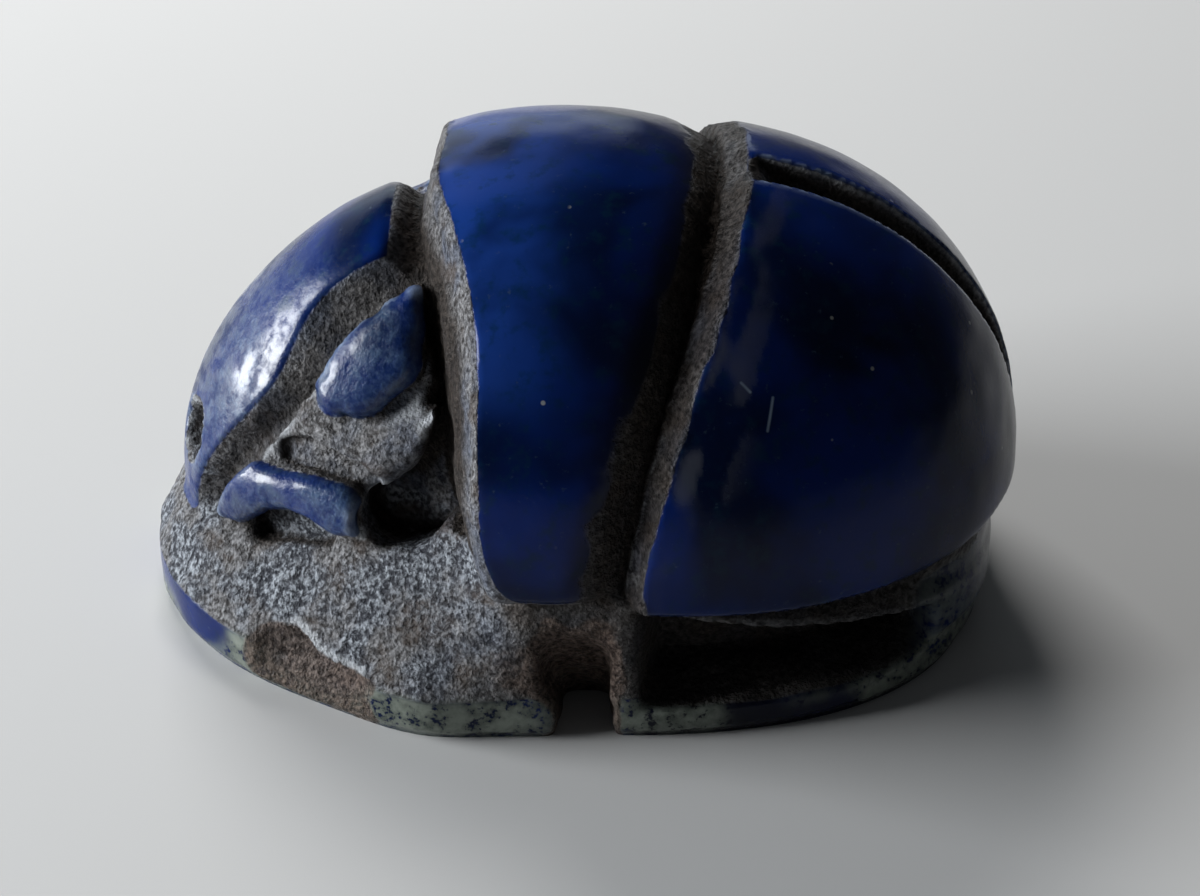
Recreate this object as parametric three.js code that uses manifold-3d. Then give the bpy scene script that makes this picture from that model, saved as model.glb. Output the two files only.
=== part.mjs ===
// A scarab amulet carved from one piece of lapis lazuli and drilled end to end for a cord.
// Millimetres, +Z up. The head points to -X, the tail to +X, and the flat underside lies on z = 0.
// The form is a solid "inside" function, as a carver thinks: polished domes standing over ground-away
// hollows. It is turned into one faceted solid, then the flat underside and the cord hole are cut.
import * as THREE from 'three';
import { mergeVertices } from 'three/addons/utils/BufferGeometryUtils.js';
import Module from 'manifold-3d';

// ---- driving dimensions, mm ----
const BASE = { centreX: -0.22, halfLength: 8.62, halfWidth: 5.95, power: 2.5, frontPower: 2.15, rimHeight: 1.05 };
const SHOULDER_HEIGHT = 3.3; // where the wing cases and the thorax meet the flank
const THORAX = { centre: [-0.3, 0, SHOULDER_HEIGHT], radii: [6.6, 6.15, 6.72], power: 2.15 };
const WINGS = { centre: [1.9, 0, SHOULDER_HEIGHT], radii: [7.05, 6.2, 6.5], power: 2.1 };
const THORAX_FRONT = { midX: -2.8, sweep: 1.15 };
const WAIST_GROOVE = { depth: 0.66, softSide: 1.35, crispSide: 0.4, wingDepth: 0.46, overlap: 0.06 };
const WING_SEAM = { startX: 3.3, halfWidth: 0.45, depth: 0.5, endAngle: 0.12, steps: 14 };
const HEAD = { centre: [-1.5, 0, 2.5], radii: [6.75, 4.8, 6.78], power: 1.84, rearX: -2.6, groundDepth: 0.34 };
const PLATE = { halfWidth: 1.4, bulge: 0.95, bulgeHeight: 5.7, spreadAbove: 1.6, spreadBelow: 2.4, rearX: -3.95 };
const SIDE_NOTCH = { x: 0.4, halfWidth: 0.56, backY: 4.35, slope: 0.55 };
const CHIP = { start: [-6.7, -4.45], end: [-3.85, -5.75], depth: 0.05, scoop: 0.5, top: 1.2 };
const HIND_LEG = { startX: 1.4, startHeight: 3.2, fall: 0.21, recessDepth: 1.7, recessFloor: 0.7 };
const CORD_HOLE = { atHead: [-8.0, -0.8, 3.8], atTail: [8.9, 0, 3.1], radius: 0.5, sides: 24 };
const INNER_CORE = { centre: [1.2, 0, 2.6], radii: [5.6, 4.3, 6.0], power: 2.2 };

// ---- small form tools ----
function clamp(value, low, high) {
  return Math.min(Math.max(value, low), high);
}

function smoothStep(from, to, value) {
  const t = clamp((value - from) / (to - from), 0, 1);
  return t * t * (3 - 2 * t);
}

function bell(value, centre, width) {
  return Math.exp(-(((value - centre) / width) ** 2));
}

function blendUnion(a, b, width) {
  const t = clamp(0.5 + 0.5 * (b - a) / width, 0, 1);
  return b * (1 - t) + a * t - width * t * (1 - t);
}

function blendCut(a, b, width) {
  return -blendUnion(-a, b, width);
}

// Signed distance, to first order, to a superellipsoid.
function superEllipsoid(x, y, z, { centre, radii, power = 2 }) {
  const a = Math.abs(x - centre[0]) / radii[0];
  const b = Math.abs(y - centre[1]) / radii[1];
  const c = Math.abs(z - centre[2]) / radii[2];
  const level = Math.pow(a ** power + b ** power + c ** power, 1 / power) + 1e-9;
  const slope = Math.hypot(a ** (power - 1) / radii[0], b ** (power - 1) / radii[1], c ** (power - 1) / radii[2]);
  return (level - 1) / (slope * level ** (1 - power) + 1e-6);
}

// Sideways distance, over the surface at that level, to a line; each stop is [x, y, z, half-width].
function lineOver(x, y, z, level, stops) {
  let nearest = Infinity;
  for (let i = 0; i + 1 < stops.length; i += 1) {
    const [ax, ay, az, ar] = stops[i];
    const [bx, by, bz, br] = stops[i + 1];
    const [dx, dy, dz] = [bx - ax, by - ay, bz - az];
    const along = ((x - ax) * dx + (y - ay) * dy + (z - az) * dz) / (dx * dx + dy * dy + dz * dz);
    const t = clamp(along, 0, 1);
    const gap = (x - ax - t * dx) ** 2 + (y - ay - t * dy) ** 2 + (z - az - t * dz) ** 2;
    nearest = Math.min(nearest, Math.sqrt(Math.max(gap - level ** 2, 0)) - ar - (br - ar) * t);
  }
  return nearest;
}

// ---- base and flank ----
function baseOutline(x, y) {
  const { centreX, halfLength, halfWidth } = BASE;
  const power = x < centreX ? BASE.frontPower : BASE.power;
  const fuller = 0.3 * bell(x, -2.9, 1.5);
  const a = Math.abs(x - centreX) / halfLength;
  const b = Math.abs(y) / halfWidth;
  const level = Math.pow(a ** power + b ** power, 1 / power) + 1e-9;
  const slope = Math.hypot(a ** (power - 1) / halfLength, b ** (power - 1) / halfWidth);
  return (level - 1) / (slope * level ** (1 - power) + 1e-6) - fuller;
}

// The ground collar under the head leans in above the rim, most beside the thorax.
function collarInset(x, z) {
  const lean = 0.12 + 0.62 * smoothStep(-0.6, -3.0, x) + 0.2 * bell(x, -6, 1.6) - 0.2 * smoothStep(-7, -8.5, x);
  return Math.max(z - BASE.rimHeight, 0) * lean;
}

// Behind the middle the side is a hind leg: a crest falling to the tail over a deep recess.
function legInset(x, z) {
  const crest = HIND_LEG.startHeight - HIND_LEG.fall * (x - HIND_LEG.startX);
  const floor = HIND_LEG.recessFloor;
  const recess = HIND_LEG.recessDepth * smoothStep(floor, floor + 0.35, z)
    * smoothStep(crest + 0.02, crest - 0.35, z) * smoothStep(1.3, 1.9, x) * smoothStep(7.4, 6.0, x);
  const band = (0.42 - 0.34 * smoothStep(6.0, 8.3, x)) * smoothStep(crest, crest + 0.45, z);
  const tailSwell = 0.22 * smoothStep(6.8, 8.3, x) * smoothStep(0.8, 1.1, z);
  return Math.max(recess, band) + 0.06 - tailSwell;
}

function flank(x, y, z) {
  const rear = smoothStep(0.85, 1.05, x);
  const front = x < 1.1 ? collarInset(x, z) : 0;
  const footRounding = 0.16 * smoothStep(0.3, 0, z);
  const side = baseOutline(x, y) + front * (1 - rear) + legInset(x, z) * rear + footRounding;
  return Math.max(side, z - SHOULDER_HEIGHT - 0.6);
}

// ---- thorax and wing cases ----
function waistX(z) {
  return 1.2 + 1.95 * clamp((z - 3.4) / 6.5, 0, 1.2) ** 1.6;
}

// The thorax's front edge sweeps back beside the head, further on the beetle's right side.
function thoraxFrontX(y, z) {
  const share = y > 0 ? 0.3 : 1;
  const sweep = THORAX_FRONT.sweep * (1 - bell(y, 0, 3)) * share - 0.1 * smoothStep(0.5, 2.5, y);
  return THORAX_FRONT.midX + sweep + 0.15 * clamp(5 - z, 0, 3);
}

// The waist groove is cut deep on the beetle's right side and only shallow on its left.
function grooveShare(y) {
  return 1 - 0.72 * smoothStep(-2.5, 2.5, y);
}

function thorax(x, y, z) {
  const dome = superEllipsoid(x, y, z, THORAX);
  const fromWaist = x - waistX(z);
  const fall = clamp(1 + fromWaist / WAIST_GROOVE.softSide, 0, 1);
  const rounded = dome + WAIST_GROOVE.depth * grooveShare(y) * fall ** 2.2;
  const body = blendCut(rounded, WAIST_GROOVE.overlap - fromWaist, 0.05);
  const frontWall = (thoraxFrontX(y, z) - x) * 0.95 - 0.27 * clamp(-dome, 0, 1.2);
  return blendCut(blendCut(body, -frontWall, 0.13), z - SHOULDER_HEIGHT, 0.55);
}

function wingCases(x, y, z) {
  const dome = superEllipsoid(x, y, z, WINGS);
  const fromWaist = x - waistX(z);
  const bevel = clamp(1 - fromWaist / WAIST_GROOVE.crispSide, 0, 1);
  const groove = WAIST_GROOVE.wingDepth * grooveShare(y) * bevel;
  const body = blendCut(dome + groove, fromWaist + WAIST_GROOVE.overlap, 0.03);
  return blendCut(body, z - SHOULDER_HEIGHT, 0.2);
}

// ---- head: a polished plate, eyes and cheeks left standing between ground-away hollows ----
// Lines along which the head is worked; each stop is [x, distance from the middle, z, half-width].
const GROOVE = [[-3.3, 1.75, 8.3, 0.3], [-4.3, 1.9, 7.7, 0.4], [-5.0, 2.3, 6.85, 0.33],
  [-5.65, 2.57, 5.8, 0.25], [-6.8, 2.4, 4.2, 0.3], [-7.5, 1.95, 2.7, 0.28]];
const EYE = [[-3.35, 2.5, 7.6, 0.46], [-3.72, 2.78, 7.1, 0.68], [-4.2, 2.9, 6.62, 0.64], [-4.68, 2.9, 6.2, 0.38]];
const EYE_RECESS = [[-2.45, 2.95, 7.4, 0.36], [-2.6, 3.35, 6.9, 0.4], [-3.1, 3.5, 6.42, 0.32],
  [-4.4, 3.3, 5.85, 0.08]];
const SADDLE = [[-5.25, 2.9, 5.75, 0.15], [-4.61, 3.32, 5.55, 0.3], [-3.81, 3.65, 5.6, 0.36],
  [-2.43, 3.5, 6.6, 0.2]];
const CHEEK_HOLLOW = [[-5.85, 3.0, 4.72, 0.12], [-5.3, 3.25, 4.92, 0.3], [-4.25, 3.8, 4.75, 0.25]];
const NECK_RECESS = [[-2.5, 3.95, 5.8, 0.2], [-2.65, 4.2, 5.1, 0.4], [-2.9, 4.35, 4.5, 0.6],
  [-3.7, 4.2, 3.85, 0.55]];
const CHEEK = [[-7.25, 2.3, 2.75, 0.25], [-6.85, 2.55, 3.2, 0.48], [-6.35, 2.85, 3.8, 0.48],
  [-5.1, 3.65, 4.15, 0.42], [-4.35, 4.05, 3.98, 0.4]];
const CHEEK_ARCH = [[-6.5, 2.95, 2.6, 0.2], [-6.0, 3.3, 2.95, 0.3], [-5.1, 3.9, 3.08, 0.26]];

function plateHalfWidth(z) {
  const spread = z > PLATE.bulgeHeight ? PLATE.spreadAbove : PLATE.spreadBelow;
  return PLATE.halfWidth + PLATE.bulge * bell(z, PLATE.bulgeHeight, spread);
}

function headPlate(blank, x, side, z) {
  const top = blank + 0.5 * smoothStep(PLATE.rearX, PLATE.rearX + 0.85, x) ** 1.5;
  return blendCut(top, -((side - plateHalfWidth(z)) * 0.95 + 0.12 * (blank + 0.3)), 0.07);
}

// Stone left standing along a line, its top sunk a little below the blank.
function island(blank, lateral, sunk, rounding) {
  return blendCut(blank + sunk, -lateral, rounding);
}

function trench(blank, lateral, depth) {
  return Math.max(lateral, -blank - depth);
}

function head(x, y, z) {
  const side = Math.abs(y);
  const blank = superEllipsoid(x, y, z, HEAD);
  if (x > HEAD.rearX + 1 || blank > 1) return Math.max(blank, x - HEAD.rearX);
  const over = (line) => lineOver(x, side, z, blank, line);
  const lowBesideCheek = 0.5 * smoothStep(3.4, 2.5, z) * smoothStep(2.2, 2.6, side);
  let form = blank + HEAD.groundDepth + 0.15 * smoothStep(-5, -2.8, x) + lowBesideCheek;
  form = blendUnion(form, island(blank, over(SADDLE), 0.14, 0.3), 0.4);
  form = blendCut(form, trench(blank, over(CHEEK_HOLLOW), 0.62), 0.35);
  form = blendUnion(form, island(blank, over(EYE), 0.02, 0.42), 0.05);
  form = blendUnion(form, island(blank, over(CHEEK), 0, 0.35), 0.08);
  form = blendCut(form, trench(blank, over(EYE_RECESS), 1.1), 0.2);
  form = blendCut(form, trench(blank, over(GROOVE), 0.52), 0.12);
  form = Math.min(form, headPlate(blank, x, side, z));
  return Math.max(form, x - HEAD.rearX);
}

// The hollows below and behind the cheek, which bite into the collar too.
function underCheek(x, y, z) {
  const side = Math.abs(y);
  const blank = superEllipsoid(x, y, z, HEAD);
  const behind = trench(blank, lineOver(x, side, z, blank, NECK_RECESS), 1.5);
  return Math.min(behind, trench(blank, lineOver(x, side, z, blank, CHEEK_ARCH), 0.75));
}

// ---- cuts through the flank ----
function notch(x, y, z) {
  const openFront = x < SIDE_NOTCH.x ? 0.35 * smoothStep(0.4, 1.8, z) : 0;
  const across = Math.abs(x - SIDE_NOTCH.x) - SIDE_NOTCH.halfWidth - openFront;
  return blendCut(across, Math.abs(y) - SIDE_NOTCH.backY - SIDE_NOTCH.slope * z, 0.5);
}

function chip(x, y, z) {
  const [[ax, ay], [bx, by]] = [CHIP.start, CHIP.end];
  const length = Math.hypot(bx - ax, by - ay);
  const along = ((x - ax) * (bx - ax) + (y - ay) * (by - ay)) / length;
  const out = ((x - ax) * (by - ay) - (y - ay) * (bx - ax)) / length;
  const curve = Math.max(1 - (2 * along / length - 1) ** 2, 0);
  const face = -(out + CHIP.depth + CHIP.scoop * curve * clamp(z, 0, 1.3) / 0.9);
  return Math.max(face, -along - 0.3, along - length, z - CHIP.top);
}

// ---- the whole stone; negative is inside ----
function stone(x, y, z) {
  const domes = Math.min(thorax(x, y, z), wingCases(x, y, z));
  let front = Math.min(head(x, y, z), flank(x, y, z));
  if (x < -1.8 && Math.abs(y) > 2 && z > 1.8 && z < 7.5) front = blendCut(front, underCheek(x, y, z), 0.15);
  const whole = Math.min(domes, front, superEllipsoid(x, y, z, INNER_CORE));
  return blendCut(blendCut(whole, notch(x, y, z), 0.2), chip(x, y, z), 0.08);
}

// ---- faceting: one vertex in each cell that the surface crosses, placed on the surface's edges ----
const FEET = -0.45; // the blank reaches a little below the underside, which is cut flat afterwards
const X_STEPS = [[-9.7, 0.33], [-3.0, 0.4], [-1.6, 0.56], [2.3, 0.42], [4.0, 0.56], [9.8, 0]];
const Y_STEPS = [[0.3, 0.6], [1.5, 0.38], [4.54, 0.44], [6.8, 0]];
const Z_STEPS = [[-0.9, 0.4], [3.1, 0.42], [10.6, 0]];

// Grid lines along one axis: each entry of steps is [start, spacing up to the next entry's start].
function gridLines(steps) {
  const lines = [];
  for (let i = 0; i + 1 < steps.length; i += 1) {
    const [[from, spacing], [to]] = [steps[i], steps[i + 1]];
    const count = Math.max(Math.round((to - from) / spacing), 1);
    for (let n = 0; n < count; n += 1) lines.push(from + (to - from) * n / count);
  }
  lines.push(steps[steps.length - 1][0]);
  return lines;
}

// The grid is sheared along x so that its cells follow the waist groove and the thorax's front wall.
function shearedX(u, y, z) {
  const waistPull = Math.max(1 - Math.abs(u - 3.15) / 5, 0);
  const frontPull = Math.max(1 - Math.abs(u - THORAX_FRONT.midX) / 3.2, 0);
  return u + (waistX(z) - 3.15) * waistPull + (thoraxFrontX(y, z) - THORAX_FRONT.midX) * frontPull;
}

function gradient(field, p) {
  const h = 0.004;
  return new THREE.Vector3(
    field(p.x + h, p.y, p.z) - field(p.x - h, p.y, p.z),
    field(p.x, p.y + h, p.z) - field(p.x, p.y - h, p.z),
    field(p.x, p.y, p.z + h) - field(p.x, p.y, p.z - h),
  ).normalize();
}

function crossing(field, inside, outside) {
  const a = inside.clone();
  const b = outside.clone();
  const middle = new THREE.Vector3();
  for (let i = 0; i < 12; i += 1) {
    middle.addVectors(a, b).multiplyScalar(0.5);
    (field(middle.x, middle.y, middle.z) < 0 ? a : b).copy(middle);
  }
  return middle;
}

// The point nearest to all tangent planes of one cell, held close to their mean point.
function fitPoint(points, normals, cell) {
  const mean = new THREE.Vector3();
  points.forEach((p) => mean.add(p));
  mean.divideScalar(points.length);
  const pull = 0.02;
  const m = new THREE.Matrix3().set(pull, 0, 0, 0, pull, 0, 0, 0, pull);
  const right = new THREE.Vector3();
  points.forEach((p, i) => {
    const n = normals[i];
    const height = n.dot(p.clone().sub(mean));
    const e = m.elements;
    [n.x * n.x, n.x * n.y, n.x * n.z, n.y * n.x, n.y * n.y, n.y * n.z, n.z * n.x, n.z * n.y, n.z * n.z]
      .forEach((product, k) => { e[k] += product; });
    right.addScaledVector(n, height);
  });
  return right.applyMatrix3(m.invert()).add(mean).clamp(cell.min, cell.max);
}

// Groups the crossed edges of a cell into separate sheets of surface, so that no two sheets share a
// vertex. An edge is named 3 * corner + axis; a corner's bits say which end of each axis it is on.
function sheetsOf(signs) {
  const group = new Map();
  const edgeAt = (c, axis) => 3 * (c & ~(1 << axis)) + axis;
  const crossed = (c, axis) => signs[c] !== signs[c ^ (1 << axis)];
  for (let c = 0; c < 8; c += 1) {
    for (let axis = 0; axis < 3; axis += 1) {
      if (crossed(c, axis)) group.set(edgeAt(c, axis), edgeAt(c, axis));
    }
  }
  const join = (a, b) => {
    const [from, to] = [group.get(a), group.get(b)];
    group.forEach((value, edge) => { if (value === from) group.set(edge, to); });
  };
  for (let axis = 0; axis < 3; axis += 1) {
    const [u, v] = [(axis + 1) % 3, (axis + 2) % 3];
    for (let side = 0; side < 2; side += 1) {
      const corners = [0, 1, 2, 3].map((n) => (side << axis) | ((n & 1) << u) | ((n >> 1) << v));
      const edges = new Set();
      corners.forEach((c) => [u, v].forEach((a) => { if (crossed(c, a)) edges.add(edgeAt(c, a)); }));
      if (edges.size === 2) join(...edges);
      if (edges.size === 4) corners.filter((c) => signs[c]).forEach((c) => join(edgeAt(c, u), edgeAt(c, v)));
    }
  }
  return [...new Set(group.values())].map((name) => [...group.keys()].filter((edge) => group.get(edge) === name));
}

const CELL_MARGIN = 0.02; // keeps each vertex a little inside its own cell
const RING = [[1, 1], [0, 1], [0, 0], [1, 0]]; // the four cells round a grid edge

function facet(form) {
  const field = (u, y, z) => form(shearedX(u, y, z), y, z);
  const xs = gridLines(X_STEPS);
  const halfYs = gridLines(Y_STEPS);
  const ys = [...halfYs.map((y) => -y).reverse(), ...halfYs];
  const zs = gridLines(Z_STEPS);
  const [nx, ny, nz] = [xs.length, ys.length, zs.length];
  const at = (i, j, k) => (i * ny + j) * nz + k;
  const values = new Float64Array(nx * ny * nz);
  xs.forEach((x, i) => ys.forEach((y, j) => zs.forEach((z, k) => { values[at(i, j, k)] = field(x, y, z); })));
  const corner = (i, j, k) => new THREE.Vector3(xs[i], ys[j], zs[k]);
  const cellSheets = new Map();
  const positions = [];
  const faces = [];

  function edgePoint(cell, c, axis) {
    const a = [cell[0] + (c & 1), cell[1] + ((c >> 1) & 1), cell[2] + ((c >> 2) & 1)];
    const b = a.slice();
    b[axis] += 1;
    const [inside, outside] = values[at(...a)] < 0 ? [a, b] : [b, a];
    return crossing(field, corner(...inside), corner(...outside));
  }

  // The vertex of the sheet of surface that crosses one edge of a cell.
  function vertexOf(cell, edge) {
    const key = at(...cell);
    if (!cellSheets.has(key)) {
      const signs = [];
      for (let c = 0; c < 8; c += 1) {
        signs.push(values[at(cell[0] + (c & 1), cell[1] + ((c >> 1) & 1), cell[2] + ((c >> 2) & 1))] < 0);
      }
      cellSheets.set(key, sheetsOf(signs).map((sheet) => ({ sheet, vertex: -1 })));
    }
    const found = cellSheets.get(key).find(({ sheet }) => sheet.includes(edge));
    if (found.vertex < 0) {
      const points = found.sheet.map((e) => edgePoint(cell, Math.floor(e / 3), e % 3));
      const normals = points.map((p) => gradient(field, p));
      const low = corner(...cell).addScalar(CELL_MARGIN);
      const high = corner(cell[0] + 1, cell[1] + 1, cell[2] + 1).addScalar(-CELL_MARGIN);
      const point = fitPoint(points, normals, new THREE.Box3(low, high));
      found.vertex = positions.length / 3;
      positions.push(point.x, point.y, point.z);
    }
    return found.vertex;
  }

  function addQuad(a, b, c, d) {
    const p = (n) => new THREE.Vector3().fromArray(positions, 3 * n);
    if (p(a).distanceTo(p(c)) < p(b).distanceTo(p(d))) faces.push(a, b, c, a, c, d);
    else faces.push(a, b, d, b, c, d);
  }

  for (let i = 1; i < nx - 1; i += 1) {
    for (let j = 1; j < ny - 1; j += 1) {
      for (let k = 1; k < nz - 1; k += 1) {
        const here = values[at(i, j, k)] < 0;
        for (let axis = 0; axis < 3; axis += 1) {
          const next = [i, j, k];
          next[axis] += 1;
          if (here === values[at(...next)] < 0) continue;
          const ring = RING.map(([u, v]) => {
            const cell = [i, j, k];
            cell[(axis + 1) % 3] -= u;
            cell[(axis + 2) % 3] -= v;
            const c = (u << ((axis + 1) % 3)) | (v << ((axis + 2) % 3));
            return vertexOf(cell, 3 * c + axis);
          });
          if (here) addQuad(...ring);
          else addQuad(...ring.reverse());
        }
      }
    }
  }
  for (let i = 0; i < positions.length; i += 3) {
    positions[i] = shearedX(positions[i], positions[i + 1], positions[i + 2]);
  }
  const geometry = new THREE.BufferGeometry();
  geometry.setAttribute('position', new THREE.Float32BufferAttribute(positions, 3));
  geometry.setIndex(faces);
  return geometry;
}

// ---- solids: cutting with manifold-3d ----
const wasm = await Module();
wasm.setup();

function toSolid(geometry) {
  const bare = geometry.clone();
  bare.deleteAttribute('normal');
  bare.deleteAttribute('uv');
  const merged = mergeVertices(bare, 1e-4);
  const mesh = new wasm.Mesh({
    numProp: 3,
    vertProperties: Float32Array.from(merged.attributes.position.array),
    triVerts: Uint32Array.from(merged.index.array),
  });
  return new wasm.Manifold(mesh);
}

function toGeometry(solid) {
  const mesh = solid.getMesh();
  const geometry = new THREE.BufferGeometry();
  geometry.setAttribute('position', new THREE.BufferAttribute(mesh.vertProperties, 3));
  geometry.setIndex(new THREE.BufferAttribute(mesh.triVerts, 1));
  geometry.computeVertexNormals();
  return geometry;
}

// Drilled from head to tail, a little off the middle at the head.
function cordHole() {
  const { atHead, atTail, radius, sides } = CORD_HOLE;
  const head = new THREE.Vector3(...atHead);
  const tail = new THREE.Vector3(...atTail);
  const axis = new THREE.Vector3().subVectors(tail, head);
  const centre = new THREE.Vector3().addVectors(head, tail).multiplyScalar(0.5);
  const turn = new THREE.Quaternion().setFromUnitVectors(THREE.Object3D.DEFAULT_UP, axis.clone().normalize());
  const drill = new THREE.CylinderGeometry(radius, radius, 1.4 * axis.length(), sides);
  return drill.applyQuaternion(turn).translate(centre.x, centre.y, centre.z);
}

// The seam between the wing cases: a strip of even width whose floor lies a little below the dome.
function wingSeam() {
  const { centre: [cx, , cz], radii: [rx, , rz], power } = WINGS;
  const { startX, halfWidth, depth, endAngle, steps } = WING_SEAM;
  const startAngle = Math.acos(((startX - cx) / rx) ** (power / 2));
  const onDome = (n, share) => {
    const angle = startAngle + (endAngle - startAngle) * n / steps;
    return [cx + share * rx * Math.cos(angle) ** (2 / power), cz + share * rz * Math.sin(angle) ** (2 / power)];
  };
  const floor = (n) => onDome(n, 1 - depth / rz * smoothStep(steps, steps * 0.7, n));
  const outline = new THREE.Shape().moveTo(...onDome(0, 1.1));
  for (let n = 0; n <= steps; n += 1) outline.lineTo(...floor(n));
  for (let n = steps; n > 0; n -= 1) outline.lineTo(...onDome(n, 1.1));
  const strip = new THREE.ExtrudeGeometry(outline, { depth: 2 * halfWidth, bevelEnabled: false });
  return strip.rotateX(Math.PI / 2).translate(0, halfWidth, 0);
}

function belowUnderside() {
  return new THREE.BoxGeometry(24, 18, 2).translate(0, 0, -1);
}

const lapis = new THREE.MeshStandardMaterial({ color: 0x1b2f86, roughness: 0.32, metalness: 0 });
const carved = toSolid(facet((x, y, z) => Math.max(stone(x, y, z), FEET - z)))
  .subtract(toSolid(belowUnderside()))
  .subtract(toSolid(wingSeam()))
  .subtract(toSolid(cordHole()));
const stoneGeometry = toGeometry(carved);
stoneGeometry.computeBoundingBox();
const middle = stoneGeometry.boundingBox.getCenter(new THREE.Vector3());
stoneGeometry.translate(-middle.x, -middle.y, 0);
const scarab = new THREE.Mesh(stoneGeometry, lapis);
scarab.name = 'scarab';

const amulet = new THREE.Group();
amulet.add(scarab);

export default amulet;
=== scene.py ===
import math

import bpy
import numpy as np
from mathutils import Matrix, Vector


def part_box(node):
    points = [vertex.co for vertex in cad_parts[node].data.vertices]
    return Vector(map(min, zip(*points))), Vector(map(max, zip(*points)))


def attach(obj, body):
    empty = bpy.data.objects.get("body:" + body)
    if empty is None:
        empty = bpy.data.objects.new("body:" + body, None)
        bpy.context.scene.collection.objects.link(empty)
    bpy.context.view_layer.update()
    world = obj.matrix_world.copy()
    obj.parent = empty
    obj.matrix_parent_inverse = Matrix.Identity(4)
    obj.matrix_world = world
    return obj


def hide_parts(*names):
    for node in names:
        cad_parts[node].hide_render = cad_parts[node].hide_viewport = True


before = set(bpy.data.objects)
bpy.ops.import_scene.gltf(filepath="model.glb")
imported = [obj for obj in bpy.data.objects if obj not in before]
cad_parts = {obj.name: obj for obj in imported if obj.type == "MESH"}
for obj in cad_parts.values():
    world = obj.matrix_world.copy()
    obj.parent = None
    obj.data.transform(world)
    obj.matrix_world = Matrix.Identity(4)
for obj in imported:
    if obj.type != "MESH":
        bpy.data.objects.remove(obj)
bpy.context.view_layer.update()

bpy.ops.object.select_all(action="DESELECT")

# ==== The stone: its form ====
# One pebble of lapis lazuli, sawn flat below. The polished domes of the beetle stand over
# hollows that were ground away with sand, so the form is described as the carver left it:
# a distance that is negative inside the stone, in millimetres, with the head towards -X.
SHOULDER_HEIGHT = 3.3
BASE = dict(centre_x=-0.22, half_length=8.62, half_width=5.95, power=2.5, front_power=2.15, rim_height=1.05,
            foot_height=0.3, foot_rounding=0.16)
FULLER_SIDE = dict(x=-2.9, spread=1.5, amount=0.3)
THORAX = dict(centre=(-0.3, 0, SHOULDER_HEIGHT), radii=(6.6, 6.15, 6.72), power=2.15)
WINGS = dict(centre=(1.9, 0, SHOULDER_HEIGHT), radii=(7.05, 6.2, 6.5), power=2.1)
THORAX_FRONT = dict(mid_x=-2.8, sweep=1.15, spread=3, left_share=0.3, undercut=0.27, edge=0.13)
SHOULDER_EDGE = dict(thorax=0.55, wings=0.2)
WAIST = dict(foot_x=1.2, foot_z=3.4, rise=6.5, lean=1.95, curve=1.6)
WAIST_GROOVE = dict(depth=0.66, soft_side=1.35, crisp_side=0.3, wing_depth=0.46, overlap=0.06,
                    left_loss=0.72)
WING_SEAM = dict(start_x=3.3, half_width=0.45, depth=0.5)
HEAD = dict(centre=(-1.5, 0, 2.5), radii=(6.75, 4.8, 6.78), power=1.84)
HEAD_REAR_X, HEAD_GROUND_DEPTH = -2.6, 0.34
PLATE = dict(half_width=1.4, bulge=0.95, bulge_height=5.7, spread_above=1.6, spread_below=2.4,
             rear_x=-3.95, rear_length=0.85, rear_fall=0.5, side_lean=0.12, edge=0.07)
SIDE_NOTCH = dict(x=0.4, half_width=0.56, back_y=4.35, slope=0.55, wider_above=0.35, ragged=0.16)
CHIP = dict(start=(-6.7, -4.45), end=(-3.85, -5.75), depth=0.05, scoop=0.5, top=1.2)
HIND_LEG = dict(start_x=1.4, start_height=3.2, fall=0.21, recess_depth=1.7, recess_floor=0.7)
CORD_HOLE = dict(at_head=(-8.0, -0.8, 3.8), at_tail=(8.9, 0, 3.1), radius=0.5)
CHIPPED_MOUTH = dict(centre=(-7.9, -1.1, 3.9), radii=(0.55, 0.42, 0.72), power=2)
INNER_CORE = dict(centre=(1.2, 0, 2.6), radii=(5.6, 4.3, 6.0), power=2.2)
# Lines along which the head is worked; each stop is x, distance from the middle, z, half-width.
GROOVE = ((-3.3, 1.75, 8.3, 0.3), (-4.3, 1.9, 7.7, 0.4), (-5.0, 2.3, 6.85, 0.33),
          (-5.3, 2.5, 6.33, 0.27), (-5.65, 2.57, 5.8, 0.25), (-6.15, 2.53, 5.2, 0.27),
          (-6.8, 2.4, 4.2, 0.3), (-7.25, 2.15, 3.45, 0.32), (-7.5, 1.95, 2.7, 0.28))
CREST = ((-3.08, 1.9, 8.3, 0.09), (-3.53, 2.14, 7.95, 0.1), (-4.04, 2.22, 7.63, 0.1),
         (-4.44, 2.4, 7.2, 0.1), (-4.75, 2.59, 6.77, 0.1), (-5.11, 2.74, 6.25, 0.1),
         (-5.71, 2.8, 5.51, 0.1), (-6.29, 2.8, 4.61, 0.12), (-6.72, 2.68, 3.88, 0.12))
EYE = ((-3.1, 2.2, 7.95, 0.18), (-3.35, 2.55, 7.5, 0.52), (-3.72, 2.88, 7.0, 0.8),
       (-4.2, 3.02, 6.52, 0.78), (-4.68, 2.98, 6.15, 0.46))
EYE_RECESS = ((-2.6, 2.1, 8.15, 0.28), (-2.4, 3.0, 7.35, 0.32), (-2.5, 3.5, 6.8, 0.34),
              (-3.0, 3.75, 6.2, 0.26), (-3.7, 3.8, 5.8, 0.16), (-4.4, 3.55, 5.62, 0.06))
SADDLE = ((-5.25, 2.95, 5.6, 0.15), (-4.61, 3.45, 5.3, 0.34), (-3.81, 3.82, 5.28, 0.42),
          (-3.04, 3.85, 5.7, 0.34), (-2.43, 3.6, 6.4, 0.2))
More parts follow.
